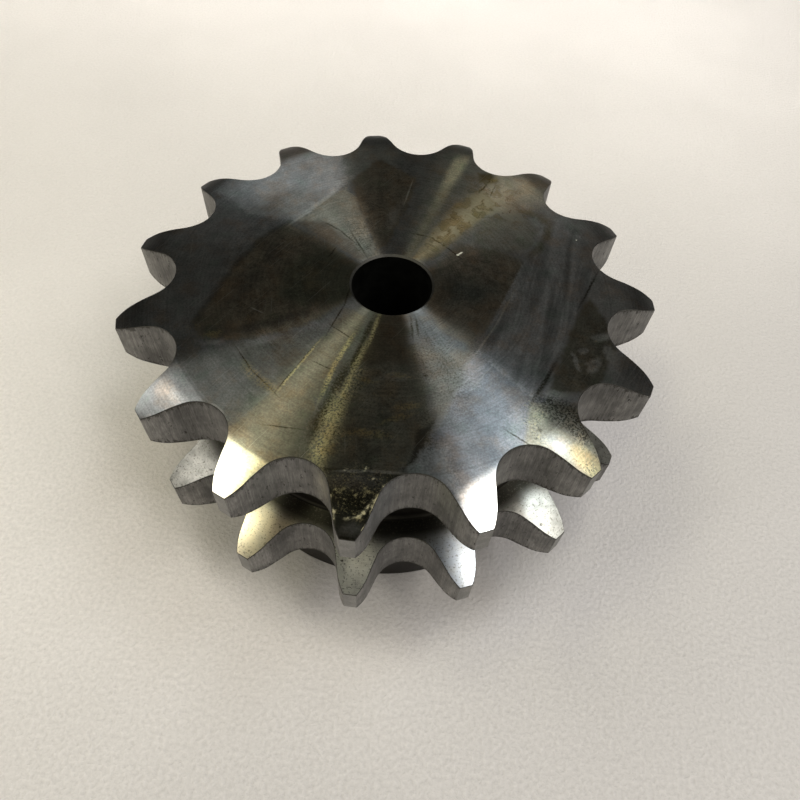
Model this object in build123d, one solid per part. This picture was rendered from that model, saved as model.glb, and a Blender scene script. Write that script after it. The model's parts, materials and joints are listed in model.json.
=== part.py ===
from build123d import *
from math import cos, radians, sin, sqrt
import os

# Duplex chain sprocket with a hub on one side, turned and hobbed from one piece of steel.
# It stands on its hub: the origin is on the bore's axis in the hub's end face, +Z points to
# the toothed face, and one tooth of each row points along -Y. Millimetres and degrees.

# The chain it drives: two strands side by side
chain_pitch = 25.4
roller_diameter = 15.88
strand_pitch = 31.88
strand_count = 2

# Teeth: a round seat for the roller, a straight flank, a slight break and a rounded tip
tooth_count = 15
tooth_width = 15.8
seat_clearance = 0.08
seat_angle = 124.0
flank_length = 5.3
flank_break = 2.0
tip_curve_radius = 13.2
tooth_rise = 5.38

# Relief that thins each tooth towards its tip, on both sides of a row
relief_radius = 26.0
relief_depth = 3.5

# Groove between the rows, where the link plates run
groove_below_roots = 5.57
groove_corner = 0.8

# Hub
hub_below_roots = 5.57
hub_length = 24.32
hub_corner = 0.8
hub_chamfer = 1.0

# Pilot bore, right through
bore_diameter = 20.0
bore_chamfer = 0.5

# Worked out from the sizes above
tooth_spacing = 360 / tooth_count
pitch_radius = chain_pitch / 2 / sin(radians(tooth_spacing / 2))
seat_radius = roller_diameter / 2 + seat_clearance
root_radius = pitch_radius - seat_radius
tip_radius = pitch_radius + tooth_rise
relief_start = tip_radius - sqrt(2 * relief_radius * relief_depth - relief_depth**2)
groove_radius = root_radius - groove_below_roots
hub_radius = root_radius - hub_below_roots
bore_radius = bore_diameter / 2
row_levels = [hub_length + strand_pitch * row for row in range(strand_count)]
overall_length = row_levels[-1] + tooth_width
first_gap_angle = -90 + tooth_spacing / 2
same_size = 0.001


def tooth_ring():
    """One row before its teeth are cut: a ring made of one equal sector to each tooth."""
    turns = (-tooth_spacing / 2, 0, tooth_spacing / 2)
    section = Plane.XZ * rim_section()
    path = CenterArc((0, 0), relief_start, turns[0], tooth_spacing)
    sector = sweep([Rot(0, 0, turn) * section for turn in turns], path=path, multisection=True)
    return Part() + [place * sector for place in PolarLocations(0, tooth_count, start_angle=-90)]


def rim_section():
    """Section of one row, relieved on both sides, from well inside the groove to the tips."""
    inside = (bore_radius + groove_radius) / 2
    flat_top = Line((inside, tooth_width), (relief_start, tooth_width))
    top_relief = JernArc(flat_top @ 1, (1, 0), relief_radius, -relief_sweep())
    flat_bottom = Line((inside, 0), (relief_start, 0))
    bottom_relief = JernArc(flat_bottom @ 1, (1, 0), relief_radius, relief_sweep())
    tip = Line(bottom_relief @ 1, top_relief @ 1)
    inner_edge = Line((inside, 0), (inside, tooth_width))
    return make_face([flat_bottom, bottom_relief, tip, top_relief, flat_top, inner_edge])


def relief_sweep():
    """The angle of relief arc that reaches the tip circle at the relief's full depth."""
    run = Vector(tip_radius - relief_start, relief_radius - relief_depth)
    return Vector(0, 1).get_angle(run)


def column(radius, low, high):
    """A round column about the axis between two levels."""
    return Pos(0, 0, low) * Cylinder(radius, high - low, align=(Align.CENTER, Align.CENTER, Align.MIN))


def round_edges(body, radius, levels):
    """The circular edges of this radius at these levels."""
    circles = body.edges().filter_by(GeomType.CIRCLE)
    right_radius = [edge for edge in circles if abs(edge.radius - radius) < same_size]
    return [
        edge
        for edge in right_radius
        if min(abs(edge.arc_center.Z - level) for level in levels) < same_size
    ]


def turned_blank():
    """Everything that is turned: the rows, the groove between them, the hub and the bore."""
    ring = tooth_ring()
    rows = [Pos(0, 0, level) * ring for level in row_levels]
    hub = column(hub_radius, 0, hub_length)
    groove_floor = column(groove_radius, row_levels[0], overall_length)
    body = hub + groove_floor + rows
    groove_corners = [level + tooth_width for level in row_levels[:-1]] + row_levels[1:]
    if groove_corners:
        body = chamfer(round_edges(body, groove_radius, groove_corners), groove_corner)
    body = chamfer(round_edges(body, hub_radius, [hub_length]), hub_corner)
    body = chamfer(round_edges(body, hub_radius, [0]), hub_chamfer)
    body -= column(bore_radius, 0, overall_length)
    return chamfer(round_edges(body, bore_radius, [0, overall_length]), bore_chamfer)


def tooth_gap():
    """Outline of the space between two teeth, its centre line on +X, open past the tips."""
    half_seat = seat_angle / 2
    seat = CenterArc((pitch_radius, 0), seat_radius, 180, -half_seat)
    flank = PolarLine(seat @ 1, flank_length, angle=90 - half_seat)
    tip_direction = radians(90 - half_seat + flank_break)
    tip_tangent = (cos(tip_direction), sin(tip_direction))
    tip_curve = JernArc(flank @ 1, tip_tangent, tip_curve_radius, half_seat - flank_break)
    outside = tip_radius + roller_diameter
    way_out = Line(tip_curve @ 1, (outside, (tip_curve @ 1).Y))
    mouth = Line(way_out @ 1, (outside, 0))
    middle = Line((outside, 0), seat @ 0)
    half_gap = make_face([seat, flank, tip_curve, way_out, mouth, middle])
    return half_gap + mirror(half_gap, Plane.XZ)


def hobbed(blank):
    """The blank with its tooth gaps cut across every row in one pass."""
    gap = tooth_gap()
    for place in PolarLocations(0, tooth_count, start_angle=first_gap_angle):
        blank -= extrude(Pos(0, 0, hub_length) * place * gap, overall_length - hub_length)
    return blank


sprocket = hobbed(turned_blank())

os.makedirs("parts", exist_ok=True)
export_step(sprocket, "parts/sprocket.step")
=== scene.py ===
"""Duplex chain sprocket: turned and hobbed from one piece of steel, standing on its hub.

Metres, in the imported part's frame: the bore is on Z, the hub's end is at z = 0, the toothed
face is on top, and one tooth of each row points along -Y.
"""

import json
from math import acos, atan2, cos, degrees, pi, radians, sin, sqrt, tau

import bmesh
import bpy
from mathutils import Matrix, Vector


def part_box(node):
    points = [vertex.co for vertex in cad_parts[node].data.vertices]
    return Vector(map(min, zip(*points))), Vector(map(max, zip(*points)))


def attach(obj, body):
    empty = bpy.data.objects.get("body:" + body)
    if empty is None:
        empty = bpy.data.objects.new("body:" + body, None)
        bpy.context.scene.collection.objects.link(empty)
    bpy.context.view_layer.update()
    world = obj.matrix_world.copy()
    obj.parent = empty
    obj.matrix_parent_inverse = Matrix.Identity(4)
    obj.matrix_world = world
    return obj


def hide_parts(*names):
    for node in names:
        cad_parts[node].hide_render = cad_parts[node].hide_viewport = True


MM = 0.001

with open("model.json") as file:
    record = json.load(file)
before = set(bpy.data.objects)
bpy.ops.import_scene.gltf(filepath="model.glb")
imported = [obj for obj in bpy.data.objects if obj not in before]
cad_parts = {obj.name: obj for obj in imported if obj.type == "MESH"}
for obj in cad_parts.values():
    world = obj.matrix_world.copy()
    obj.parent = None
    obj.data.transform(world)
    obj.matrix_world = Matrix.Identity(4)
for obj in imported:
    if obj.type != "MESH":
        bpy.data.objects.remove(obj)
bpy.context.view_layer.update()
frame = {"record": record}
NODE = "sprocket"
LOWEST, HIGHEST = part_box(NODE)
BORE = next(mount["dims"] for mount in frame["record"]["mounts"] if mount["name"] == "bore")

bl_info = {
    "name": "Chain sprocket",
    "version": (1, 0, 0),
    "blender": (4, 5, 0),
    "location": "3D View > Sidebar > Sprocket",
    "description": "A duplex roller chain sprocket of bare turned steel, and its stage",
    "category": "Object",
}


# ---- sizes and colours


def a_length(name, description, default):
    """A length that a user may change."""
    return bpy.props.FloatProperty(
        name=name, description=description, default=default, unit="LENGTH", precision=5
    )


def an_angle(name, description, default):
    """An angle that a user may change, given in degrees."""
    return bpy.props.FloatProperty(
        name=name, description=description, default=radians(default), subtype="ANGLE"
    )


def a_colour(name, description, default):
    """A colour that a user may change."""
    return bpy.props.FloatVectorProperty(
        name=name, description=description, default=default, subtype="COLOR", min=0, max=1
    )


class SprocketSizes(bpy.types.PropertyGroup):
    """Sizes of the sprocket."""

    tooth_count: bpy.props.IntProperty(
        name="Tooth count", description="Teeth in each row", default=15, min=7
    )
    first_tooth: an_angle("First tooth", "Direction of the first tooth from +X", -90)
    height: a_length("Height", "From the hub's end to the toothed face", HIGHEST.z)
    tip_radius: a_length("Tip radius", "Radius over the tips of the teeth", -LOWEST.y)
    chain_pitch: a_length("Chain pitch", "From one roller to the next", 0.0254)
    seat_radius: a_length("Seat radius", "Radius of the roller's seat", 0.00802)
    seat_angle: an_angle("Seat angle", "Arc of the roller's seat", 124)
    flank_length: a_length("Flank length", "Straight part of a tooth's flank", 0.0053)
    flank_break: an_angle("Flank break", "Turn between the flank and the tip curve", 2)
    tip_curve: a_length("Tip curve", "Radius that rounds a tooth to its tip", 0.0132)
    row_width: a_length("Row width", "Width of one row of teeth", 0.0158)
    row_spacing: a_length("Row spacing", "From one row to the next", 0.03188)
    relief_radius: a_length("Relief radius", "Radius that thins a tooth to its tip", 0.026)
    relief_depth: a_length("Relief depth", "Depth of the relief at the tip", 0.0035)
    groove_radius: a_length("Groove radius", "Radius of the groove's floor and hub", 0.0475)
    corner_radius: a_length("Corner radius", "Radius in the turned inside corners", 0.001)
    hub_chamfer: a_length("Hub chamfer", "Chamfer round the hub's end", 0.001)
    bore_radius: a_length("Bore radius", "Radius of the pilot bore", BORE["r_mm"] * MM)
    bore_chamfer: a_length("Bore chamfer", "Chamfer at each mouth of the bore", 0.0005)
    edge_break: a_length("Edge break", "Chamfer along the edges of the teeth", 0.00012)


class SprocketFinish(bpy.types.PropertyGroup):
    """Colours of the steel."""

    steel: a_colour("Steel", "Toothed face on the left", (0.212, 0.216, 0.214))
    bright_steel: a_colour("Bright steel", "Toothed face on the right", (0.39, 0.388, 0.392))
    flank: a_colour("Flank", "Hobbed tooth flanks", (0.175, 0.17, 0.163))
    land: a_colour("Land", "Tips of the teeth", (0.26, 0.256, 0.246))
    # Painted shade: the broken edges and the bore's mouths are coloured dark.
    edge: a_colour("Edge", "Broken edges", (0.075, 0.072, 0.066))
    # Painted shade: the hub and the groove's floor are coloured near black.
    hub: a_colour("Hub", "Hub and groove floor", (0.026, 0.023, 0.019))
    # Painted shade: the bore's wall is coloured near black for the shade inside it.
    bore: a_colour("Bore", "Wall of the bore", (0.02, 0.02, 0.018))


class SprocketStage(bpy.types.PropertyGroup):
    """The floor, the lamps and the world."""

    floor: a_colour("Floor", "Pale cloth under the sprocket", (0.965, 0.905, 0.895))
    # Painted shade: the cloth is coloured darker towards the camera and the right.
    shade: a_colour("Front of the floor", "The cloth towards the camera", (0.675, 0.638, 0.65))
    cool: a_colour("Cool lamps", "Lamps on the right", (0.84, 0.96, 1.0))
    warm: a_colour("Warm lamps", "Lamps on the left", (1.0, 0.97, 0.66))
    plain: a_colour("Plain lamps", "Low lamps on the left", (1.0, 0.98, 0.92))
    world: a_colour("World", "Light from all round", (0.09, 0.088, 0.078))


# ---- the tooth form


def arc(centre, radius, start, turn, steps):
    """Points along an arc, without its first one. Angles are in radians, anticlockwise."""
    for step in range(1, steps + 1):
        at = start + turn * step / steps
        yield Vector((centre.x + radius * cos(at), centre.y + radius * sin(at)))


SEAT_STEPS, FLANK_STEPS, CURVE_STEPS, LAND_STEPS = 11, 4, 8, 2


def half_gap(sizes):
    """Outline from the bottom of a gap to the middle of a tooth, the gap's centre line on +X."""
    pitch = sizes.chain_pitch / 2 / sin(pi / sizes.tooth_count)
    half_seat = sizes.seat_angle / 2
    points = [Vector((pitch - sizes.seat_radius, 0))]
    points += arc(Vector((pitch, 0)), sizes.seat_radius, pi, -half_seat, SEAT_STEPS)
    heading = pi / 2 - half_seat
    flank = Vector((cos(heading), sin(heading))) * sizes.flank_length
    foot = points[-1].copy()
    points += [foot + flank * step / FLANK_STEPS for step in range(1, FLANK_STEPS + 1)]
    heading += sizes.flank_break
    centre = points[-1] + Vector((-sin(heading), cos(heading))) * sizes.tip_curve
    turn = turn_to_tip(centre, sizes)
    points += arc(centre, sizes.tip_curve, heading - pi / 2, turn - heading, CURVE_STEPS)
    corner = atan2(points[-1].y, points[-1].x)
    middle = pi / sizes.tooth_count
    points += arc(Vector((0, 0)), sizes.tip_radius, corner, middle - corner, LAND_STEPS)
    return points


def turn_to_tip(centre, sizes):
    """Heading of the tip curve where it meets the tip circle."""
    reach = centre.length
    inside = (reach**2 + sizes.tip_curve**2 - sizes.tip_radius**2) / (2 * reach * sizes.tip_curve)
    towards_axis = atan2(-centre.y, -centre.x)
    return towards_axis + acos(inside) + pi / 2


def sector_outline(sizes):
    """Outline of one tooth, from gap to gap, the tooth on +X, as (point, mitre) pairs."""
    turn = Matrix.Rotation(-pi / sizes.tooth_count, 2)
    rising = [turn @ point for point in half_gap(sizes)]
    points = rising + [Vector((point.x, -point.y)) for point in reversed(rising[:-1])]
    step = Matrix.Rotation(tau / sizes.tooth_count, 2)
    before, after = step.inverted() @ points[-2], step @ points[1]
    around = [before, *points, after]
    return [(at, mitre(last, at, next_)) for last, at, next_ in zip(around, points, around[2:])]


def mitre(last, at, next_):
    """Vector that moves a corner outwards by one unit on both its sides."""
    sides = []
    for start, end in ((last, at), (at, next_)):
        along = (end - start).normalized()
        sides.append(Vector((along.y, -along.x)))
    both = sides[0] + sides[1]
    return both * 2 / both.length_squared


# ---- the body


def add_node(tree, kind, settings=None, inputs=None):
    """A node whose settings are made before its sockets are filled or linked."""
    node = tree.nodes.new(kind)
    for name, value in (settings or {}).items():
        setattr(node, name, value)
    for name, value in (inputs or {}).items():
        if isinstance(value, bpy.types.NodeSocket):
            tree.links.new(value, node.inputs[name])
        else:
            node.inputs[name].default_value = value
    return node


ZONES = ("bore", "mouth", "face", "rows", "edge", "flank", "land", "hub")
FACE_STEPS, RELIEF_STEPS, CORNER_STEPS, WALL_STEPS = 6, 9, 4, 3
NEAREST_RELIEF = 0.3 * MM
SEAM = 0.01 * MM


def relief_start(sizes):
    depth, radius = sizes.relief_depth, sizes.relief_radius
    return sizes.tip_radius - sqrt(2 * radius * depth - depth**2)


def relief_drop(radius, sizes):
    over = max(radius - relief_start(sizes), 0)
    return sizes.relief_radius - sqrt(sizes.relief_radius**2 - over**2)


def section(point, out, sizes):
    """Closed section of the sprocket through one point of its outline, as (place, zone) pairs.

    It goes up the bore, out over the toothed face and back down to the hub's end. A zone is
    that of the strip from a place to the next one.
    """
    along = point.normalized()
    edge = point - out * sizes.edge_break
    top_row = sizes.height - sizes.row_width
    low_row = top_row - sizes.row_spacing
    loop = []

    def at(radius, height, zone):
        loop.append((Vector((*(along * radius), height)), zone))

    def side(level, up, first, zone):
        """One side of a row, from the radius first out to the edge."""
        start = min(relief_start(sizes), edge.length - NEAREST_RELIEF)
        places = []
        for step in range(FACE_STEPS):
            radius = first + (start - first) * step / FACE_STEPS
            places.append(Vector((*(along * radius), level)))
        for step in range(RELIEF_STEPS + 1):
            spot = (along * start).lerp(edge, step / RELIEF_STEPS)
            drop = relief_drop(spot.length, sizes)
            places.append(Vector((*spot, level - up * drop)))
        return [(place, zone) for place in places]

    def row(level, top_first, top_zone, bottom_first):
        """A row of teeth: over its top, down its flank and in along its underside."""
        top = level + sizes.row_width
        upper = side(top, 1, top_first, top_zone)
        lower = side(level, -1, bottom_first, "rows")
        drop = relief_drop(point.length, sizes) + sizes.edge_break
        loop.extend(upper[:-1])
        loop.append((upper[-1][0], "edge"))
        high, low = top - drop, level + drop
        for step in range(WALL_STEPS + 1):
            height = high + (low - high) * step / WALL_STEPS
            loop.append((Vector((*point, height)), "flank" if step < WALL_STEPS else "edge"))
        loop.extend(reversed(lower))

    def inside_corner(level, up, enter):
        """A turned corner between a row's side and the groove or hub below or above it."""
        for step in range(CORNER_STEPS + 1):
            turned = pi / 2 * (step if enter else CORNER_STEPS - step) / CORNER_STEPS
            radius = sizes.groove_radius + sizes.corner_radius * (1 - sin(turned))
            height = level + up * sizes.corner_radius * (1 - cos(turned))
            at(radius, height, "hub")

    bore, chamfer = sizes.bore_radius, sizes.bore_chamfer
    at(bore + chamfer, 0, "mouth")
    for step in range(WALL_STEPS + 1):
        height = chamfer + (sizes.height - 2 * chamfer) * step / WALL_STEPS
        at(bore, height, "bore" if step < WALL_STEPS else "mouth")
    corner = sizes.groove_radius + sizes.corner_radius
    row(top_row, bore + chamfer, "face", corner)
    loop.pop()
    inside_corner(top_row, -1, True)
    inside_corner(low_row + sizes.row_width, 1, False)
    loop.pop()
    row(low_row, corner, "rows", corner)
    loop.pop()
    inside_corner(low_row, -1, True)
    at(sizes.groove_radius, sizes.hub_chamfer, "edge")
    at(sizes.groove_radius - sizes.hub_chamfer, 0, "hub")
    return loop


def sector_mesh(sizes):
    """One tooth of both rows with its share of the body, open at its two seams."""
    outline = sector_outline(sizes)
    loops = [section(point, out, sizes) for point, out in outline]
    count = len(loops[0])
    vertices = [place for loop in loops for place, _ in loop]
    faces, zones = [], []
    land = SEAT_STEPS + FLANK_STEPS + CURVE_STEPS
    for column in range(len(loops) - 1):
        on_land = land <= column < land + 2 * LAND_STEPS
        for row, (_, zone) in enumerate(loops[column]):
            here, there = column * count, (column + 1) * count
            next_row = (row + 1) % count
            faces.append((here + row, here + next_row, there + next_row, there + row))
            zones.append(ZONES.index("land" if on_land and zone == "flank" else zone))
    mesh = bpy.data.meshes.new("tooth_sector")
    mesh.from_pydata(vertices, [], faces)
    mesh.attributes.new("zone", "INT", "FACE").data.foreach_set("value", zones)
    return mesh


RING_INPUTS = {
    "Sector": "NodeSocketGeometry",
    "Tooth count": "NodeSocketInt",
    "First tooth": "NodeSocketFloat",
    "Seam distance": "NodeSocketFloat",
}


def ring_of_teeth(finishes):
    """Geometry nodes that repeat a sector about Z, join its seams and finish each zone."""
    tree = bpy.data.node_groups.new("ring_of_teeth", "GeometryNodeTree")
    for name, kind in RING_INPUTS.items():
        tree.interface.new_socket(name, in_out="INPUT", socket_type=kind)
    tree.interface.new_socket("Body", in_out="OUTPUT", socket_type="NodeSocketGeometry")

    def node(kind, settings=None, inputs=None):
        """The first output of a new node."""
        return add_node(tree, kind, settings, inputs).outputs[0]

    given = add_node(tree, "NodeGroupInput").outputs
    count, first = given["Tooth count"], given["First tooth"]
    points = node("GeometryNodePoints", None, {"Count": count})
    spacing = node("ShaderNodeMath", {"operation": "DIVIDE"}, {0: tau, 1: count})
    index = node("GeometryNodeInputIndex")
    turn = node("ShaderNodeMath", {"operation": "MULTIPLY_ADD"}, {0: index, 1: spacing, 2: first})
    turned = node("ShaderNodeCombineXYZ", None, {"Z": turn})
    places = {"Points": points, "Instance": given["Sector"], "Rotation": turned}
    placed = node("GeometryNodeInstanceOnPoints", None, places)
    real = node("GeometryNodeRealizeInstances", None, {"Geometry": placed})
    seams = {"Geometry": real, "Distance": given["Seam distance"]}
    body = node("GeometryNodeMergeByDistance", None, seams)
    zone = node("GeometryNodeInputNamedAttribute", {"data_type": "INT"}, {"Name": "zone"})
    same = {"data_type": "INT", "operation": "EQUAL"}
    for number, finish in enumerate(finishes):
        chosen = node("FunctionNodeCompare", same, {2: zone, 3: number})
        finished = {"Geometry": body, "Selection": chosen, "Material": finish}
        body = node("GeometryNodeSetMaterial", None, finished)
    add_node(tree, "NodeGroupOutput", None, {"Body": body})
    return tree


def apply_tree(piece, tree, values):
    """The piece's mesh after the tree, with its modifier removed."""
    modifier = piece.modifiers.new(tree.name, "NODES")
    modifier.node_group = tree
    for item in tree.interface.items_tree:
        if item.in_out == "INPUT" and item.name in values:
            modifier[item.identifier] = values[item.name]
    graph = bpy.context.evaluated_depsgraph_get()
    mesh = bpy.data.meshes.new_from_object(piece.evaluated_get(graph), depsgraph=graph)
    piece.modifiers.remove(modifier)
    piece.data = mesh
    return mesh


SHARPEST_SMOOTH = radians(20)


def settle(mesh, sizes):
    """Outward faces, crisp edges, and coordinates centred on the bore for the turning grain."""
    work = bmesh.new()
    work.from_mesh(mesh)
    bmesh.ops.recalc_face_normals(work, faces=work.faces)
    work.to_mesh(mesh)
    work.free()
    mesh.shade_smooth()
    mesh.set_sharp_from_angle(angle=SHARPEST_SMOOTH)
    mesh.use_auto_texspace = False
    mesh.texspace_location = (0, 0, sizes.height / 2)
    mesh.texspace_size = (sizes.tip_radius, sizes.tip_radius, sizes.height / 2)


# ---- shader maths


ACROSS_GRAIN = 0.25
GRAIN_ROUGHNESS = 0.281


class Value:
    """A number, colour or place that a shader works out. Sums on it add Math nodes."""

    def __init__(self, finish, socket):
        self.finish, self.socket = finish, socket

    def math(self, operation, *others):
        inputs = dict(enumerate((self, *others)))
        return self.finish.add("ShaderNodeMath", {"operation": operation}, inputs)

    def __add__(self, other):
        return self.math("ADD", other)

    def __sub__(self, other):
        return self.math("SUBTRACT", other)

    def __mul__(self, other):
        return self.math("MULTIPLY", other)

    def __truediv__(self, other):
        return self.math("DIVIDE", other)

    def __rsub__(self, other):
        return self.finish.add("ShaderNodeMath", {"operation": "SUBTRACT"}, {0: other, 1: self})

    __radd__, __rmul__ = __add__, __mul__

    def over(self, other):
        """The larger of the two."""
        return self.math("MAXIMUM", other)

    def under(self, other):
        """The smaller of the two."""
        return self.math("MINIMUM", other)

    def step(self, low, high, bottom=0.0, top=1.0):
        """From bottom to top as this goes from low to high, smoothly."""
        settings = {"interpolation_type": "SMOOTHSTEP"}
        inputs = {0: self, 1: low, 2: high, 3: bottom, 4: top}
        return self.finish.add("ShaderNodeMapRange", settings, inputs)

    def vary(self, bottom, top):
        """From bottom to top over the usual range of a noise."""
        return self.step(0.3, 0.7, bottom, top)


class Finish:
    """A material, built from expressions. Its places are in millimetres."""

    def __init__(self, name):
        self.material = bpy.data.materials.new(name)
        self.material.use_nodes = True
        self.tree = self.material.node_tree
        self.tree.nodes.clear()
        metres = self.add("ShaderNodeTexCoord", output="Object")
        self.place = self.stretch(metres, 1 / MM, 1 / MM, 1 / MM)

    def add(self, kind, settings=None, inputs=None, output=0):
        """One output of a node of this kind."""
        plain = {name: getattr(value, "socket", value) for name, value in (inputs or {}).items()}
        return Value(self, add_node(self.tree, kind, settings, plain).outputs[output])

    def add_all(self, kind, inputs):
        """Every output of a node of this kind."""
        first = self.add(kind, None, inputs)
        return [Value(self, socket) for socket in first.socket.node.outputs]

    def vector(self, operation, *inputs, output=0):
        """Vector maths on places."""
        inputs = dict(enumerate(inputs))
        return self.add("ShaderNodeVectorMath", {"operation": operation}, inputs, output)

    def stretch(self, where, x, y, z):
        """Places with each axis multiplied."""
        return self.vector("MULTIPLY", where, (x, y, z))

    def turned(self, where, angle, along, across):
        """Level places turned so that X runs at this angle, with both axes multiplied."""
        inputs = {"Vector": where, "Rotation": (0, 0, radians(-angle))}
        return self.stretch(self.add("ShaderNodeMapping", None, inputs), along, across, 0)

    def from_axis(self, where):
        """Distance from the bore's axis."""
        return self.vector("LENGTH", self.stretch(where, 1, 1, 0), output="Value")

    def noise(self, scale, detail=3.0, roughness=0.55, where=None, output=0):
        """Noise with this many grains to the millimetre."""
        where = where or self.place
        inputs = {"Vector": where, "Scale": scale, "Detail": detail, "Roughness": roughness}
        return self.add("ShaderNodeTexNoise", None, inputs, output)

    def rings(self, radius, scale, roughness=0.6):
        """Noise that changes only with the distance from the bore's axis."""
        along = self.add("ShaderNodeCombineXYZ", None, {0: radius * scale})
        return self.noise(1.0, 2, roughness, along)

    def warp(self, where, reach, scale):
        """Places moved by up to about half the reach, for ragged outlines."""
        push = self.noise(scale, 3, 0.6, where, output="Color")
        moved = self.vector("MULTIPLY_ADD", push, (reach, reach, 0), where)
        return self.vector("ADD", moved, (-reach / 2, -reach / 2, 0))

    def flat(self):
        """Places on a level sheet: Z is 1 everywhere, so that a line is a single dot product."""
        return self.vector("MULTIPLY_ADD", self.place, (1, 1, 0), (0, 0, 1))

    def patch(self, where, corners, soft, grain=None):
        """1 inside a convex outline and 0 outside it. Grain roughens its edge."""
        inside = None
        for start, end in zip(corners, (*corners[1:], corners[0])):
            along = (Vector(end) - Vector(start)).normalized()
            line = (-along.y, along.x, along.y * start[0] - along.x * start[1])
            gap = self.vector("DOT_PRODUCT", where, line, output="Value")
            inside = gap.under(inside) if inside else gap
        if grain:
            inside = inside + grain
        return inside.step(-soft, soft)

    def oval(self, where, mark, soft):
        """1 inside an oval mark and 0 outside it."""
        x, y, along, across, angle = mark
        settings = {"gradient_type": "SPHERICAL"}
        ball = self.add("ShaderNodeTexGradient", settings, {"Vector": where}, "Fac")
        placing = ball.socket.node.texture_mapping
        placing.vector_type = "TEXTURE"
        placing.translation = (x, y, 1)
        placing.rotation = (0, 0, radians(angle))
        placing.scale = (along * (1 + soft), across * (1 + soft), 1)
        return ball.step(0, 2 * soft / (1 + soft))

    def marks(self, where, marks, soft=0.3):
        """1 inside any of these oval marks."""
        cover = self.oval(where, marks[0], soft)
        for mark in marks[1:]:
            cover = self.oval(where, mark, soft).over(cover)
        return cover

    def mix(self, share, low, high, blend="MIX"):
        """A colour between two colours."""
        settings = {"data_type": "RGBA", "blend_type": blend}
        inputs = {0: share, 6: opaque(low), 7: opaque(high)}
        return self.add("ShaderNodeMix", settings, inputs, output=2)

    def shade(self, tone, strength):
        """A colour made darker or lighter by a number."""
        inputs = {0: tone, "Scale": strength}
        return self.add("ShaderNodeVectorMath", {"operation": "SCALE"}, inputs)

    def surface(self, tone, metallic, roughness, others=None):
        """Ends the material in a Principled shader with these sockets."""
        inputs = {"Base Color": tone, "Metallic": metallic, "Roughness": roughness}
        shader = self.add("ShaderNodeBsdfPrincipled", None, {**inputs, **(others or {})})
        add_node(self.tree, "ShaderNodeOutputMaterial", None, {"Surface": shader.socket})
        return self.material

    def grained_surface(self, tone, metallic):
        """Ends the material as steel whose grain runs round the bore."""
        grain = {"Anisotropic": 1.0, "Anisotropic Rotation": ACROSS_GRAIN}
        return self.surface(tone, metallic, GRAIN_ROUGHNESS, grain)

    def bump(self, height, distance):
        """A normal for heights that reach this many millimetres."""
        return self.add("ShaderNodeBump", None, {"Height": height, "Distance": distance * MM})


def opaque(tone):
    """A colour for a socket: four numbers, or the link that it already is."""
    return tone if isinstance(tone, Value) else (*tone[:3], 1.0)


# ---- marks on the toothed face


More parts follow.
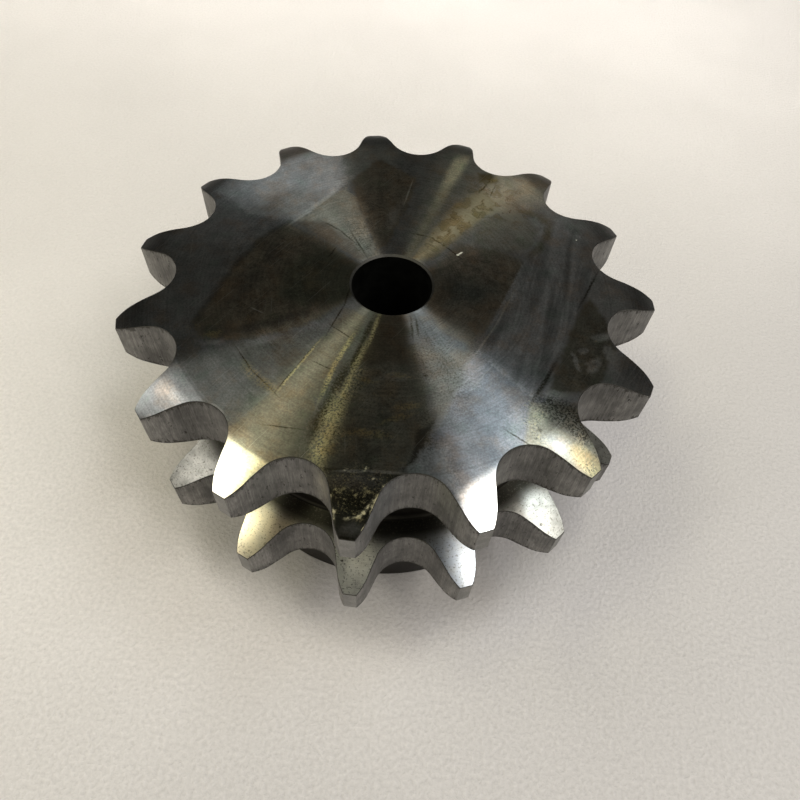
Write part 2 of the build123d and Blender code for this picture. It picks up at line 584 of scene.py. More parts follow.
# Convex patches in the order they are laid: colour, softness of the edge, and the corners
# anticlockwise, in millimetres from the bore's axis.
PATCHES = (
    # left: a clean ring, and the silvery steel above it
    ((0.31, 0.312, 0.318), 6, (-62, 6), (-38, 8), (-34, 24), (-60, 26)),
    ((0.33, 0.335, 0.31), 4, (-22, 36), (-8, 40), (-4, 54), (-24, 54)),
    ((0.466, 0.472, 0.48), 1.4, (-18, 36), (-22, 54), (-36, 54), (-50, 36), (-53, 28), (-42, 20),
     (-28.5, 18.5), (-20, 31)),
    ((0.31, 0.3, 0.282), 3, (-41, 21), (-28.5, 18.5), (-21, 30), (-32, 32)),
    ((0.31, 0.298, 0.25), 0.7, (-28, 18.8), (-6, 8), (-5, 9.5), (-14, 31), (-17, 34), (-20, 31.5)),
    ((0.26, 0.255, 0.22), 1.5, (-9, 7), (-3.5, 9), (-6, 15), (-12, 13)),
    ((0.185, 0.165, 0.135), 1, (-29, 18), (-10, 7.5), (-7, 8.5), (-13, 14), (-20, 19.5)),
    # the long brown patch above the bore
    ((0.212, 0.19, 0.15), 0.7, (-5, 11), (-3, 14), (1, 33), (1.5, 42), (-10, 49), (-16.5, 38), (-12, 26)),
    # the large brown patch left of the bore
    ((0.205, 0.182, 0.14), 0.8, (-30, 17.5), (-36, 10), (-40, -3), (-44, -20), (-41, -24.5), (-30, -23),
     (-19, -17), (-11.5, -9), (-8, -3), (-8, 4), (-18, 12)),
    ((0.13, 0.133, 0.1), 2.5, (-27, -10), (-13, -9), (-8, -3), (-8, 3), (-18, 10), (-27, 2)),
    # lower left
    ((0.25, 0.258, 0.245), 1.2, (-18, -17.5), (-30, -23.5), (-47, -27), (-50, -40), (-30, -46),
     (-18, -36), (-12, -18)),
    ((0.165, 0.175, 0.175), 3, (-56, -24), (-46, -34), (-39, -28), (-42, -24)),
    ((0.19, 0.195, 0.178), 2, (-16, -18), (-32, -24.5), (-30, -29), (-19, -31)),
    ((0.226, 0.217, 0.19), 0.5, (-9.5, -10), (-20, -35.5), (-13, -42), (-4.5, -12)),
    ((0.23, 0.218, 0.188), 0.5, (-19, -33), (-29, -48), (-27, -58), (-14, -58), (-11.5, -38)),
    ((0.15, 0.146, 0.13), 0.9, (-12.6, -40), (-15.5, -55), (-9.5, -55), (-10.4, -42)),
    # below the bore
    ((0.2, 0.195, 0.16), 0.6, (-5.5, -24), (-9, -58), (11, -58), (14, -38), (8, -18)),
    ((0.156, 0.138, 0.104), 1.5, (-2, -9), (-5, -26), (7, -24), (5, -9)),
    ((0.165, 0.16, 0.13), 1.5, (-4.5, -38), (-7.5, -56), (2, -56), (1, -38)),
    # lower right
    ((0.22, 0.22, 0.202), 0.9, (6, -9), (9, -22), (13.5, -39), (16, -37), (22, -18), (14, -11)),
    ((0.18, 0.185, 0.185), 2, (6, -9), (7.5, -18), (18, -19), (22, -17), (14, -11)),
    ((0.228, 0.24, 0.262), 0.6, (10, -54), (29, -58), (34, -42), (38, -28), (24.5, -15.5)),
    ((0.45, 0.475, 0.5), 2, (9, -54), (20, -54), (17, -45), (12, -45)),
    ((0.08, 0.078, 0.066), 0.5, (9.2, -52), (12.4, -45), (13.8, -38.5), (11.2, -42)),
    ((0.335, 0.335, 0.352), 2.5, (29, -42), (36, -44), (37, -31), (31, -33)),
    ((0.31, 0.3, 0.308), 1.8, (19, -30), (23, -28), (24, -20), (22, -18), (20, -22)),
    # brown films right of the bore
    ((0.25, 0.226, 0.186), 1.5, (8, -3), (13, -12), (21, -17), (29, 0), (33, 12), (26, 17), (16, 17),
     (8, 6)),
    ((0.14, 0.148, 0.132), 4, (12, -4), (22, -4), (26, 3), (12, 5)),
    # the film beyond the wiped band
    ((0.212, 0.205, 0.172), 0.7, (37.5, -30), (50, -24), (54, -12), (52, -3), (49, 3), (45, -4)),
    # upper right
    ((0.31, 0.306, 0.272), 1.2, (18, 17), (28, 15.5), (35, 20), (35.5, 27), (31, 31), (22, 27)),
    ((0.47, 0.435, 0.412), 1.8, (19, 38), (26, 31), (34, 33), (38, 40), (34, 49), (22, 49)),
    ((0.55, 0.52, 0.48), 2.5, (32, 37), (38, 37), (38, 47), (32, 46)),
    ((0.262, 0.232, 0.182), 0.8, (4, 9.5), (9, 10.5), (16, 21), (13, 24), (9.5, 22)),
    ((0.325, 0.284, 0.21), 0.8, (7, 17), (14, 18.5), (25, 34), (20, 41), (14, 34)),
    ((0.15, 0.126, 0.08), 1, (19, 44), (22, 42.5), (24.5, 45), (22, 48.5), (18.5, 47.5)),
)
# Painted highlights and shade on the thinned sides of the teeth, a colour for each tooth, laid over the
# patches in the same way
LIT_AND_SHADED_RELIEFS = (
    ((0.8, 0.81, 0.83), 1.3, (20.5, -55), (25, -68), (41, -58), (29.5, -46.5)),
    ((0.62, 0.6, 0.48), 0.5, (-28.5, -48.8), (-36, -58), (-20, -68), (-17.5, -54.2)),
    ((0.86, 0.86, 0.83), 1.5, (-28, -49), (-36, -58), (-26, -68), (-23, -54)),
    ((0.43, 0.44, 0.445), 1, (-36, -40), (-44, -32), (-54, -42), (-34, -52)),
    ((0.27, 0.24, 0.21), 2, (-30, 49), (-36, 58), (-44, 52), (-37.5, 42.5)),
    ((0.09, 0.088, 0.068), 0.3, (-8, -53.2), (-3.5, -68), (3.5, -68), (10, -52)),
    ((0.33, 0.3, 0.28), 1.2, (31, 49.5), (37, 42), (41, 52), (37, 56)),
    ((0.43, 0.405, 0.33), 0.7, (34.5, -30.5), (33.5, -42), (39, -46), (54, -48), (46, -31)),
    ((0.2, 0.19, 0.16), 1.5, (37, -31), (39, -36.5), (50, -38), (45, -30), (40, -29)),
)

# Two more outlines: a painted highlight streak from the bore to the rim, and a band that a rag wiped
HIGHLIGHT_STREAK = ((2.2, 9), (3.2, 9), (16.8, 58), (12.4, 58))
WIPED_BAND = ((22, -18.5), (36, -30.5), (48.5, 6), (50, 14), (49, 22), (43, 34), (37, 28))


def strokes(*lines):
    """Oval marks that draw lines, each line given as its width and its points."""
    marks = []
    for width, *points in lines:
        for start, end in zip(points, points[1:]):
            run = Vector(end) - Vector(start)
            middle = (Vector(start) + Vector(end)) / 2
            marks.append((*middle, run.length * 0.6, width / 2, degrees(atan2(run.y, run.x))))
    return marks


# Each oval mark is x, y, half its length, half its width and the direction of its length, in
# millimetres and degrees.
# Light lines: edges of films and scratches, and a painted highlight along the ridge where the near
# tooth's relief starts.
THIN_LINES = strokes(
    (1.3, (-28, 19), (-20.5, 31.5)), (0.45, (0.4, 40), (-0.6, 31)),
    (0.5, (30, 2), (26.2, -9), (22.3, -18)), (0.7, (-4, -53.6), (2, -52.7), (9, -52.2)),
    (0.8, (-33, -41.6), (-30.5, -43.2)), (0.35, (-31.8, -13.4), (-29.2, -14.4)),
)
# Painted highlights: gold glints along the edges of a smear below the bore, and fainter gold glints near
# it and beside scratches.
GOLD_GLINT_LINES = strokes(
    (0.9, (-1.6, -11), (-2.8, -20)), (1.3, (-3.6, -21), (-5.2, -29), (-6.6, -37)),
    (3.6, (-6.6, -36), (-7.8, -44), (-8.6, -53)), (1, (-7, -19), (-9.4, -27), (-10.6, -35)),
    (0.5, (-14.6, -22), (-17, -28), (-19.4, -34)),
)
FAINT_GOLD_GLINTS = strokes((2.2, (-29, -30), (-25.5, -33.5), (-21.5, -36))) + [
    (6, -39.5, 3.5, 0.6, 30), (-2, -30.2, 2.4, 0.5, 0), (5.5, -28, 2.5, 0.6, 5), (0.5, -44, 5, 0.8, 3),
    (8, -36, 2.5, 0.8, 30), (23.4, 45.4, 1.6, 0.9, 60), (-38.3, -22.6, 1.6, 1, 30),
]
DARK_LINES = strokes(
    (1.3, (-2.8, -12), (-4.4, -20), (-6, -28)), (2.6, (-6.4, -27), (-8.8, -36), (-10.6, -46)),
    (0.35, (-31.5, -26.5), (-27, -31.5), (-21, -36.5)),
    (0.35, (-15.2, -23), (-17.7, -29), (-20.2, -35)), (0.4, (-10, -4), (-10.4, -9), (-12.4, -17)),
    (0.35, (-12, -16), (-7, -19)), (0.3, (-14, -27), (-9, -29)), (0.3, (-20, -45), (-14, -45)),
    (0.5, (6, -11), (7, -16)), (0.5, (7.2, -11), (8.2, -15)), (0.4, (30, -39), (34.5, -41.5)),
    (0.45, (-20, 19), (-16, 17), (-12, 13.5)), (0.5, (-12.5, 16), (-8, 9)), (0.4, (-16, 10), (-17, 7)),
    (0.4, (3, 19), (8, 18.3), (12, 15.4), (16, 12)), (0.5, (19.5, 39), (21.5, 43.5)),
    (0.4, (22.5, 38), (23.5, 42)), (0.9, (39.4, -20.5), (35.2, -29.8)), (0.5, (50.5, 11), (47, 2)),
) + [
    (11.1, -27, 0.5, 0.35, 0), (36.6, -37.5, 0.5, 0.35, 0), (0.4, -59.6, 2.4, 1.8, 0),
    (0.1, -66.15, 1.6, 0.3, 0),
]
SOFT_DARK = strokes(
    (0.8, (40.2, -18), (36.3, -29.5)),
    (1.6, (-30.5, 17), (-36, 9), (-40, -3), (-43, -16), (-43.6, -21)),
    (0.8, (-1.6, -66), (1.8, -66)),
    (2.2, (-42, -22), (-34, -21), (-26, -17.5), (-19, -13)),
) + [(-35, -6, 6, 3, 80), (-31, 6, 7, 2, 100)]
WIPED_CLEAN = (
    (36, -9, 10, 1.4, 82), (33, -12, 7, 0.8, 78), (42, -7, 7, 0.9, 80), (40.5, 14, 9, 0.8, 84),
    (45, 14, 7, 0.7, 84),
)
WIPED_DULL = (
    (26.5, -11, 9, 1.3, 69), (38.8, -2, 9, 0.7, 82), (43.5, 12, 12, 0.7, 86), (47.5, 3, 7, 0.6, 72),
    (30, -22.6, 8, 2, -40),
)
HOOKED_STAIN = strokes((2.6, (31, 33), (36, 32.5), (39, 28.5), (37.5, 22), (34.5, 16)))
HAZY = (
    (-2.4, 26, 6, 1.2, 78), (-38, -25.3, 3, 0.6, 5), (-27, -22.4, 3.6, 1.2, 28), (-24, 43, 5, 1.6, 60),
    (-20, 35, 4, 1, 60), (4, -28.5, 3, 1, 10), (0, -55.2, 5.5, 1.5, 4), (0.8, -64.6, 2, 1, 10),
)
SPECKLED = strokes((5, (-4, -25), (-6.5, -37), (-8, -52))) + [
    (36, -36, 6, 2.4, -70), (47, -42, 5, 3.2, -35), (1, -57, 9, 5, 0),
]
BLOTCHED = ((15, 26, 14, 4, 57), (23, 38, 8, 6, 50), (27, 31, 6, 3, 0))
DUSTY = (
    (14, -24, 15, 6, -66), (12.5, -41, 8, 1.8, 100), (-10, 14, 8, 3, 130), (21, -17.5, 3, 1.6, 70),
)
SOOTY = ((41, -32, 6, 3.2, -30), (45, -35.5, 4, 2.4, -50))
FILMS = (
    (-28, -4, 22, 13, 104), (-6, 30, 20, 7, 82), (1, -40, 17, 7, 90), (20, 4, 11, 14, -30),
    (48, -14, 12, 4, 72),
)
FLECKED = (
    (3, -40, 14, 8, 90), (28, 38, 12, 9, 45), (48, -12, 12, 4, 75), (42.5, -24, 4, 1.8, 50),
    (-36, -20, 9, 4, 20),
)
CRUSTED = ((-3, -59.4, 3, 1.4, -70), (1.5, -57.6, 4, 1.2, 0), (2.6, -60.6, 3, 1.4, 55))
FLAKES = ((15.9, 13.6, 0.75, 0.2, 48), (15.3, 12.9, 0.4, 0.26, 0), (46, 24, 0.15, 0.15, 0))
# Painted glints along the edges, the ridge and the crumbs of the near tooth's relief.
RELIEF_GLINTS = strokes(
    (0.55, (-6.9, -53.9), (-4.9, -57.3), (-3.9, -60.2), (-2.7, -64.8)),
    (0.5, (7.7, -53.6), (6.3, -55), (4.7, -57.5), (3.95, -60), (3.6, -61.5)),
    (0.4, (2.9, -63.7), (2.3, -65)), (0.6, (-0.5, -62.9), (1.4, -62.4), (2.7, -61), (3.8, -58.8)),
) + [(-2.5, -53, 0.5, 0.35, 20), (1.6, -52.6, 0.6, 0.35, 60), (3.4, -54.6, 0.3, 0.25, 0)]
DULL_SPOTS = (
    (46.5, -14, 1.2, 1.1, 0), (49, -18, 2.6, 1.2, 60), (45, -17.5, 2.4, 0.7, -70),
    (51, -9, 2.4, 1.4, 20), (53, -14, 2.4, 1.4, -60), (40, -27.5, 3, 1.2, 10),
)
# Painted reflections on the low row's near teeth: an oval mark and a colour for each tooth.
LOW_RELIEF_REFLECTIONS = (
    ((-25, -56, 11, 9, -114), (0.6, 0.53, 0.41)),
    ((25, -56, 11, 9, -66), (0.38, 0.407, 0.45)),
    ((0, -60, 9, 8, 0), (1, 1, 0.92)),
)
# Painted highlights: warm light on one near relief, and glare on two others.
GOLD_RELIEF_HIGHLIGHT = ((47, -42.6, 4.4, 2.4, -32),)
GLARE = ((41, -40.6, 3.2, 1.4, -24), (-42, -40.5, 4.5, 1.2, -35))


# ---- finishes


# Noises on the turned face: grains to the millimetre, detail and roughness
NOISES = {
    "grit": (2.2, 3, 0.65),
    "grains": (2.3, 3, 0.7),
    "mottle": (0.3, 4, 0.6),
    "drift": (0.12, 4, 0.7),
    "patchy": (0.3, 3, 0.6),
    "blots": (0.5, 5, 0.75),
    "flecks": (0.45, 5, 0.72),
    "crumbs": (0.62, 5, 0.8),
}
# Areas with ragged edges: their marks and softness
AREAS = {
    "films": (FILMS, 0.4),
    "blotched": (BLOTCHED, 0.5),
    "speckled": (SPECKLED, 0.5),
    "dusty": (DUSTY, 0.6),
    "sooty": (SOOTY, 0.5),
    "flecked": (FLECKED, 0.5),
    "crusted": (CRUSTED, 0.3),
}
# Each row: the colour, its marks, the places that they are laid on, their softness, and what
# their share is multiplied by.
LAID_MARKS = (
    ((0.23, 0.205, 0.13), HOOKED_STAIN, "ragged", 0.8, 0.65),
    ((0.55, 0.55, 0.54), HAZY, "ragged", 0.9, 0.3),
    ((0.09, 0.088, 0.08), SOFT_DARK, "wavy", 0.9, 0.55),
    ((0.55, 0.54, 0.5), THIN_LINES, "level", 0.5, 0.6),
    ((0.05, 0.046, 0.03), DARK_LINES, "wavy", 0.7, "thinned"),
    # Painted highlights: gold glints
    ((0.56, 0.51, 0.31), GOLD_GLINT_LINES, "wavy", 0.8, "broken"),
    ((0.4, 0.33, 0.17), FAINT_GOLD_GLINTS, "ragged", 0.8, "broken", 0.6),
    ((0.5, 0.5, 0.49), DULL_SPOTS, "ragged", 0.4, 0.8),
    # Painted highlights: the glare and the warm highlight on the reliefs
    ((0.88, 0.88, 0.86), GLARE, "wavy", 1.0, 0.8),
    ((0.85, 0.76, 0.48), GOLD_RELIEF_HIGHLIGHT, "ragged", 0.4, 0.9),
)
# Each row: the colour, its noise, where the noise leaves it out and where it lays it in full,
# and what that share is multiplied by.
LAID_SPECKS = (
    ((0.05, 0.048, 0.036), "grains", 0.42, 0.36, "films", 0.5),
    ((0.47, 0.44, 0.37), "blobs", 0.48, 0.58, "blotched", 0.5),
    ((0.25, 0.2, 0.1), "blobs", 0.47, 0.38, "blotched", 0.5),
    ((0.13, 0.1, 0.05), "rims", 0.03, 0.004, "blotched", "broken", 0.8),
    # Painted glints: gold specks where the speckled areas catch the light.
    ((0.7, 0.62, 0.36), "grains", 0.56, 0.62, "speckled", 0.7),
    ((0.05, 0.045, 0.03), "grains", 0.45, 0.39, "speckled", 0.8),
    ((0.07, 0.068, 0.05), "grains", 0.5, 0.4, "dusty", 0.6),
    ((0.03, 0.028, 0.022), "grains", 0.54, 0.46, "sooty", 0.85),
    ((0.42, 0.36, 0.2), "flecks", 0.6, 0.68, "flecked", 0.5),
    # Painted highlights on the crumbs of the crust; the dark crumbs below are the crust itself.
    ((1.0, 0.88, 0.5), "crumbs", 0.53, 0.64, "crusted"),
    ((0.02, 0.02, 0.016), "crumbs", 0.44, 0.36, "crusted", 0.7),
)
# Directions in which hairlines run, and the noise that it takes to draw one
HAIRLINES = ((60, 0.66), (-35, 0.7), (100, 0.7))
DULL_WIPE, CLEAN_WIPE = (0.29, 0.295, 0.305), (0.49, 0.498, 0.518)
BARE_STEEL, DULL_STEEL = (0.5, 0.505, 0.525), (0.2, 0.202, 0.205)
HIGHLIGHT_AT_BORE, HIGHLIGHT_AT_RIM = (0.34, 0.325, 0.285), (0.86, 0.83, 0.68)
RUSTY_TINT, GREEN_TINT = (1.05, 0.9, 0.78), (0.82, 0.92, 0.86)
# The first of these colours is the painted glint on the near tooth's relief.
GLINT_GOLD, FLAKE, HAIRLINE = (0.48, 0.43, 0.28), (0.7, 0.69, 0.6), (0.5, 0.5, 0.46)


class TurnedFace(Finish):
    """The toothed face: fine turning marks round the bore, under films wiped in places, with painted
    highlights and shade.
    """

    def __init__(self, look):
        super().__init__("turned_face")
        self.level = self.flat()
        self.ragged = self.warp(self.level, 3.0, 0.25)
        self.wavy = self.warp(self.level, 0.5, 0.4)
        for name, (scale, detail, roughness) in NOISES.items():
            setattr(self, name, self.noise(scale, detail, roughness, self.level))
        for name, (marks, soft) in AREAS.items():
            setattr(self, name, self.marks(self.ragged, marks, soft))
        self.speckled = self.speckled * self.patchy.step(0.38, 0.58, 0.15, 1.0)
        self.frayed = (self.grit - 0.5) * 2.5
        self.broken = self.grit.step(0.36, 0.56)
        self.thinned = self.grit.step(0.66, 0.44, 0.45, 0.9)
        self.blobs = self.noise(0.36, 2, 0.5, self.ragged)
        self.rims = (self.blobs - 0.48).math("ABSOLUTE")
        across, self.depth, _ = self.add_all("ShaderNodeSeparateXYZ", {0: self.level})
        self.tone = self.mix(across.step(-8, 52), look.steel, look.bright_steel)

    def lay(self, colour, share, *parts):
        """A share of a colour over what lies there, times numbers and parts given by name."""
        for part in parts:
            share = share * (getattr(self, part) if isinstance(part, str) else part)
        self.tone = self.mix(share, self.tone, colour)

    def lay_wipes_and_highlight_streak(self):
        streaks = self.noise(1.0, 3, 0.6, self.turned(self.wavy, 79, 0.025, 0.36))
        shine = self.mix(streaks.step(0.34, 0.66), DULL_WIPE, CLEAN_WIPE)
        wiped = self.patch(self.wavy, WIPED_BAND, 0.4, self.frayed * 0.4)
        self.lay(shine, wiped, self.depth.step(34, 2, 0.5, 1.0))
        clean = self.marks(self.wavy, WIPED_CLEAN, 0.8)
        self.lay(BARE_STEEL, clean, self.depth.step(30, 0, 0.3, 0.8))
        self.lay(DULL_STEEL, self.marks(self.wavy, WIPED_DULL, 0.8), 0.7)
        # Painted highlight: a streak that brightens from the bore towards the rim.
        shine = self.mix(self.depth.step(27, 55), HIGHLIGHT_AT_BORE, HIGHLIGHT_AT_RIM)
        highlight_streak = self.patch(self.wavy, HIGHLIGHT_STREAK, 1.2, self.frayed * 0.4)
        self.lay(shine, highlight_streak, self.depth.step(58, 50))

    def shade_and_tint(self):
        """Turning rings, grit and mottling, painted shade on the far teeth's reliefs, and a tint that
        drifts.
        """
        radius = self.from_axis(self.level)
        # Painted shade: the reliefs of the far teeth are darkened.
        shaded_far_tips = radius.step(55, 62) * self.depth.step(-30, -16)
        light = self.rings(radius, 1.7, 0.7).vary(0.88, 1.12)
        light = light * self.grit.step(0.28, 0.72, 0.8, 1.2) * (1 - shaded_far_tips * 0.55)
        tone = self.shade(self.tone, light * self.mottle.vary(0.86, 1.14))
        tone = self.mix(self.drift.step(0.46, 0.66) * 0.8, tone, RUSTY_TINT, "MULTIPLY")
        tone = self.mix(self.drift.step(0.48, 0.3) * 0.8, tone, GREEN_TINT, "MULTIPLY")
        blots = self.films * (self.blots.step(0.34, 0.64) - 0.5)
        self.tone = self.shade(tone, 1 + blots * 0.5)

    def lay_glints_and_flakes(self):
        """Painted glints on the near tooth's relief, and flakes. Their share is returned, because they
        shine less than steel.
        """
        glints = self.marks(self.ragged, RELIEF_GLINTS, 0.6) * self.crumbs.step(0.42, 0.58, 0.1, 0.9)
        self.lay(GLINT_GOLD, glints)
        flakes = self.marks(self.wavy, FLAKES, 0.5)
        self.lay(FLAKE, flakes)
        return flakes + glints


def turned_face(look):
    """The toothed face's material, laid from the bare steel up."""
    face = TurnedFace(look)
    for colour, soft, *corners in PATCHES:
        face.lay(colour, face.patch(face.ragged, corners, soft, face.frayed))
    # Painted highlights and shade, one colour for each tooth's relief
    for colour, soft, *corners in LIT_AND_SHADED_RELIEFS:
        face.lay(colour, face.patch(face.wavy, corners, soft))
    face.lay_wipes_and_highlight_streak()
    for colour, marks, places, soft, *parts in LAID_MARKS:
        face.lay(colour, face.marks(getattr(face, places), marks, soft), *parts)
    face.shade_and_tint()
    for colour, noise, none, full, *parts in LAID_SPECKS:
        face.lay(colour, getattr(face, noise).step(none, full), *parts)
    glints_and_flakes = face.lay_glints_and_flakes()
    for direction, least in HAIRLINES:
        hair = face.noise(1.0, 2, 0.5, face.turned(face.wavy, direction, 0.05, 2.6))
        face.lay(HAIRLINE, hair.step(least, least + 0.05), 0.28)
    return face.grained_surface(face.tone, 1 - glints_and_flakes * 0.8)


# Painted shade: the rows' sides are near black towards the groove between the rows.
SHADED_INNER_ROW, CLEAN_ROW = (0.07, 0.066, 0.054), (0.6, 0.585, 0.54)
ROW_SPECK, ROW_PIT = (0.16, 0.15, 0.12), (0.05, 0.045, 0.035)
FLANK_PIT, BURNT_EDGE = (0.02, 0.018, 0.015), (0.03, 0.027, 0.022)


def turned_rows(look):
    """The other sides of the rows: cleaner, finely speckled steel, painted dark towards the groove as
    shade, with painted reflections on the near teeth.
    """
    finish = Finish("turned_rows")
    level = finish.flat()
    radius = finish.from_axis(level)
    mottle = finish.noise(0.35, 5, 0.6)
    specks = finish.noise(1.9, 2, 0.6)
    pits = finish.noise(0.5, 3, 0.7)
    # Lighter out on the reliefs; the inner part is painted shade.
    clean = radius.step(51.5, 56.5) * mottle.step(0.3, 0.6, 0.6, 1.0)
    tone = finish.mix(clean, SHADED_INNER_ROW, CLEAN_ROW)
    # Painted reflections, one colour for each near tooth.
    for mark, colour in LOW_RELIEF_REFLECTIONS:
        tone = finish.mix(finish.oval(level, mark, 0.5) * clean, tone, colour)
    tone = finish.mix(specks.step(0.42, 0.36) * 0.65, tone, ROW_SPECK)
    tone = finish.mix(pits.step(0.66, 0.72) * 0.8, tone, ROW_PIT)
    tone = finish.shade(tone, finish.rings(radius, 4.0).vary(0.88, 1.08))
    return finish.grained_surface(tone, 0.95)


def from_row_edge(finish, radius, sizes):
    """Millimetres from the nearer edge of a row's flank, along the bore's axis."""
    height = finish.add("ShaderNodeSeparateXYZ", None, {0: finish.place}, "Z")
    top = (sizes.height - sizes.row_width / 2) / MM
    low = top - sizes.row_spacing / MM
    from_middle = (height - top).math("ABSOLUTE").under((height - low).math("ABSOLUTE"))
    relief = (radius - relief_start(sizes) / MM).over(0)
    drop = relief * relief / (2 * sizes.relief_radius / MM)
    return sizes.row_width / 2 / MM - from_middle - drop


def hobbed_flank(look, sizes):
    """Matt flanks with fine marks along the bore's axis, dark pits, burnt edges, and painted light beyond
    the crease towards the tips.
    """
    finish = Finish("hobbed_flank")
    cuts = finish.noise(1.6, 3, 0.6, finish.stretch(finish.place, 1, 1, 0.025))
    fine = finish.noise(4.5, 2, 0.6, finish.stretch(finish.place, 1, 1, 0.1))
    stain = finish.noise(0.16, 4, 0.65)
    pits = finish.noise(0.9, 3, 0.7, finish.stretch(finish.place, 1, 1, 0.5))
    radius = finish.from_axis(finish.place)
    light = cuts.vary(0.74, 1.2) * fine.vary(0.8, 1.16)
    # Painted highlight: the flank is lighter beyond the crease where it turns into the tip curve.
    light = light * stain.vary(0.66, 1.22) * radius.step(60.9, 61.4, 1.0, 1.3)
    tone = finish.shade(look.flank, light)
    tone = finish.mix(pits.step(0.63, 0.69) * 0.8, tone, FLANK_PIT)
    burr = finish.noise(1.3, 4, 0.75, finish.stretch(finish.place, 1, 1, 0.25))
    burnt = (from_row_edge(finish, radius, sizes) - burr.step(0.42, 0.75, 0, 2.2)).step(0.4, 0.05)
    tone = finish.mix(burnt * 0.7, tone, BURNT_EDGE)
    normal = finish.bump(cuts * 0.6 + fine * 0.4, 0.02)
    return finish.surface(tone, 0.9, cuts.vary(0.46, 0.56), {"Normal": normal})


def worn_steel(name, tone, roughness):
    """Steel with soft stains and fine scuffs."""
    finish = Finish(name)
    stain = finish.noise(0.3, 4)
    scuffs = finish.noise(3.0, 3, 0.65)
    light = stain.vary(0.75, 1.15) * scuffs.vary(0.85, 1.12)
    dulled = stain.vary(roughness, roughness + 0.08)
    return finish.surface(finish.shade(tone, light), 1.0, dulled)


def turned_hub(look):
    """Coarser turning marks on the hub and the groove's floor, coloured near black as painted shade."""
    finish = Finish("turned_hub")
    stain = finish.noise(0.15, 5)
    feed = finish.noise(1.0, 2, 0.6, finish.stretch(finish.place, 0.02, 0.02, 3.2))
    light = stain.vary(0.7, 1.2) * feed.vary(0.82, 1.15)
    # A low specular level keeps this painted shade dark.
    dim_sheen = {"Specular IOR Level": 0.15, "Normal": finish.bump(feed, 0.02)}
    return finish.surface(finish.shade(look.hub, light), 0.6, stain.vary(0.42, 0.52), dim_sheen)


def pale_cloth(look):
    """Dimpled cloth with painted shading of low folds, a painted shadow close round the sprocket, and
    painted shade towards the front and the right.
    """
    finish = Finish("pale_cloth")
    across, depth, _ = finish.add_all("ShaderNodeSeparateXYZ", {0: finish.place})
    # Painted shade: the cloth is darker towards the front and the right.
    tone = finish.mix((depth * 1.2 - across * 0.9).step(-180, 120), look.shade, look.floor)
    weave = finish.noise(0.9, 3)
    # Painted shading of low folds in the cloth.
    fold_shading = finish.noise(0.012, 2)
    light = 0.98 + (weave - 0.5) * depth.step(80, -60, 0.16, 0.42)
    light = light * fold_shading.vary(0.97, 1.02)
    # Painted shadow: the cloth darkens close round the sprocket.
    light = light * finish.from_axis(finish.place).step(56, 74, 0.64, 1.0)
    normal = finish.bump(weave, 0.45)
    return finish.surface(finish.shade(tone, light), 0.0, 0.9, {"Normal": normal})


def finishes(look, sizes):
    """One material for each zone, in the order of ZONES."""
    made = {
        # The bore's near-black wall is painted shade.
        "bore": worn_steel("bore_wall", look.bore, 0.55),
        # The mouths and the broken edges are painted dark as shade.
        "mouth": worn_steel("bore_mouth", look.edge, 0.5),
        "face": turned_face(look),
        "rows": turned_rows(look),
        "edge": worn_steel("worn_edge", look.edge, 0.4),
        "flank": hobbed_flank(look, sizes),
        "land": worn_steel("tooth_tip", look.land, 0.45),
        "hub": turned_hub(look),
    }
    return [made[zone] for zone in ZONES]


# ---- operators


class SPROCKET_OT_body(bpy.types.Operator):
    """Makes the toothed body with its finishes"""

    bl_idname = "sprocket.body"
    bl_label = "Toothed body"

    def execute(self, context):
        sizes, look = context.scene.sprocket_sizes, context.scene.sprocket_finish
        piece = bpy.data.objects.new("sprocket_body", sector_mesh(sizes))
        context.collection.objects.link(piece)
        tree = ring_of_teeth(finishes(look, sizes))
        teeth = {"Tooth count": sizes.tooth_count, "First tooth": sizes.first_tooth}
        settle(apply_tree(piece, tree, {**teeth, "Seam distance": SEAM}), sizes)
        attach(piece, "root")
        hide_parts(NODE)
        return {"FINISHED"}


EYE = Vector((11.37, -117.2, 190.62)) * MM
FORWARD = Vector((-0.035223, 0.572033, -0.819474))
ROLL = 4.39
LENS = 30.07
FLOOR_HALF = 1.5
LAMP_DISTANCE = 1.0
# Each lamp is a strip seen from the toothed face, from one direction to another, as (x, y) of
# unit vectors: its name, tint, ends, width and brightness.
LAMPS = (
    ("window_top", "cool", ((0.37, 0.37), (0.37, 0.06)), 0.24, 5.5),
    ("window_low", "plain", ((0.4, -0.16), (0.53, -0.5)), 0.14, 15.4),
    ("window_side", "plain", ((0.55, 0.12), (0.75, -0.45)), 0.28, 3.9),
    ("tube_middle", "warm", ((-0.42, 0.1), (-0.56, -0.22)), 0.14, 9.2),
    ("tube_front", "plain", ((-0.56, -0.22), (-0.75, -0.55)), 0.14, 4.6),
    ("low_tube", "plain", ((-0.57, 0.25), (-0.93, 0.03)), 0.08, 2.9),
    ("inner_low_tube", "plain", ((-0.45, 0.22), (-0.75, 0.03)), 0.08, 3.8),
    ("thin_tube_back", "warm", ((-0.25, 0.35), (-0.26, 0.05)), 0.06, 2.7),
    ("thin_tube_front", "warm", ((-0.33, -0.4), (-0.33, -0.8)), 0.06, 11.5),
)
BACK_LAMP_PLACE = (-0.08, 0.35, 0.3)
BACK_LAMP_SIZE = (0.6, 0.1)
BACK_LAMP_SPREAD = 80
BACK_LAMP_ENERGY = 0.22


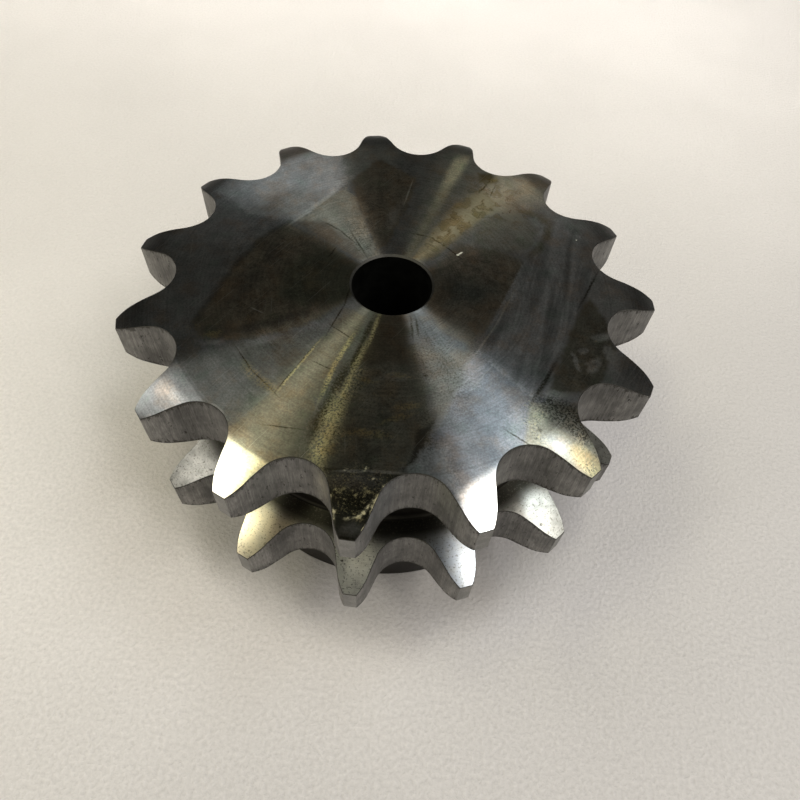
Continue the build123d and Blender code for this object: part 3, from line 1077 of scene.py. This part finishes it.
class SPROCKET_OT_stage(bpy.types.Operator):
    """Makes the floor, the lamps, the world and the camera"""

    bl_idname = "sprocket.stage"
    bl_label = "Stage"

    def execute(self, context):
        look = context.scene.sprocket_stage
        self.make_floor(context, look)
        for name, tint, ends, width, brightness in LAMPS:
            self.make_lamp(context, name, getattr(look, tint), ends, width, brightness)
        self.make_back_lamp(context, look)
        self.make_camera(context)
        world = bpy.data.worlds.new("room")
        context.scene.world = world
        world.use_nodes = True
        world.node_tree.nodes["Background"].inputs["Color"].default_value = (*look.world, 1)
        context.scene.view_settings.view_transform = "Standard"
        return {"FINISHED"}

    def make_floor(self, context, look):
        mesh = bpy.data.meshes.new("floor")
        reach = FLOOR_HALF
        corners = [(-reach, -reach, 0), (reach, -reach, 0), (reach, reach, 0), (-reach, reach, 0)]
        mesh.from_pydata(corners, [], [(0, 1, 2, 3)])
        mesh.materials.append(pale_cloth(look))
        floor = bpy.data.objects.new("floor", mesh)
        context.collection.objects.link(floor)

    def add_lamp(self, context, name, size, tint, energy):
        """A rectangular lamp that faces down."""
        data = bpy.data.lights.new(name, "AREA")
        data.shape = "RECTANGLE"
        data.size, data.size_y = size
        data.color = tint
        data.energy = energy
        lamp = bpy.data.objects.new(name, data)
        context.collection.objects.link(lamp)
        return lamp

    def make_lamp(self, context, name, tint, ends, width, brightness):
        """A strip lamp that faces the toothed face."""
        start, end = (on_dome(*place) * LAMP_DISTANCE for place in ends)
        middle = (start + end) / 2
        size = (end - start).length, width
        lamp = self.add_lamp(context, name, size, tint, brightness * pi * size[0] * size[1])
        back = middle.normalized()
        along = (end - start).normalized()
        turned = Matrix((along, back.cross(along), back)).transposed()
        lamp.rotation_euler = turned.to_euler()
        lamp.location = middle + Vector((0, 0, context.scene.sprocket_sizes.height))

    def make_back_lamp(self, context, look):
        """A lamp that brightens the cloth behind the sprocket and doesn't reach the sprocket."""
        lamp = self.add_lamp(context, "back_lamp", BACK_LAMP_SIZE, look.plain, BACK_LAMP_ENERGY)
        lamp.data.spread = radians(BACK_LAMP_SPREAD)
        lamp.location = BACK_LAMP_PLACE

    def make_camera(self, context):
        data = bpy.data.cameras.new("camera")
        data.lens = LENS
        camera = bpy.data.objects.new("camera", data)
        context.collection.objects.link(camera)
        camera.location = EYE
        level = FORWARD.to_track_quat("-Z", "Y").to_matrix().to_4x4()
        roll = Matrix.Rotation(radians(ROLL), 4, "Z")
        camera.rotation_euler = (level @ roll).to_euler()
        context.scene.camera = camera


def on_dome(x, y):
    """The unit vector above the floor whose level part is (x, y)."""
    return Vector((x, y, sqrt(1 - x * x - y * y)))


class SPROCKET_PT_panel(bpy.types.Panel):
    """Lists the steps that make the sprocket"""

    bl_idname = "SPROCKET_PT_panel"
    bl_label = "Chain sprocket"
    bl_space_type = "VIEW_3D"
    bl_region_type = "UI"
    bl_category = "Sprocket"

    def draw(self, context):
        for step in STEPS:
            self.layout.operator(step.bl_idname)
        for group in GROUPS:
            held = getattr(context.scene, group)
            for name in held.__annotations__:
                self.layout.prop(held, name)


STEPS = (SPROCKET_OT_body, SPROCKET_OT_stage)
GROUPS = {
    "sprocket_sizes": SprocketSizes,
    "sprocket_finish": SprocketFinish,
    "sprocket_stage": SprocketStage,
}


def register():
    for made in (*GROUPS.values(), *STEPS, SPROCKET_PT_panel):
        bpy.utils.register_class(made)
    for name, group in GROUPS.items():
        setattr(bpy.types.Scene, name, bpy.props.PointerProperty(type=group))


def unregister():
    for name in GROUPS:
        delattr(bpy.types.Scene, name)
    for made in (SPROCKET_PT_panel, *reversed(STEPS), *reversed(GROUPS.values())):
        bpy.utils.unregister_class(made)


def main():
    register()
    bpy.ops.sprocket.body()
    bpy.ops.sprocket.stage()


if __name__ == "__main__":
    main()
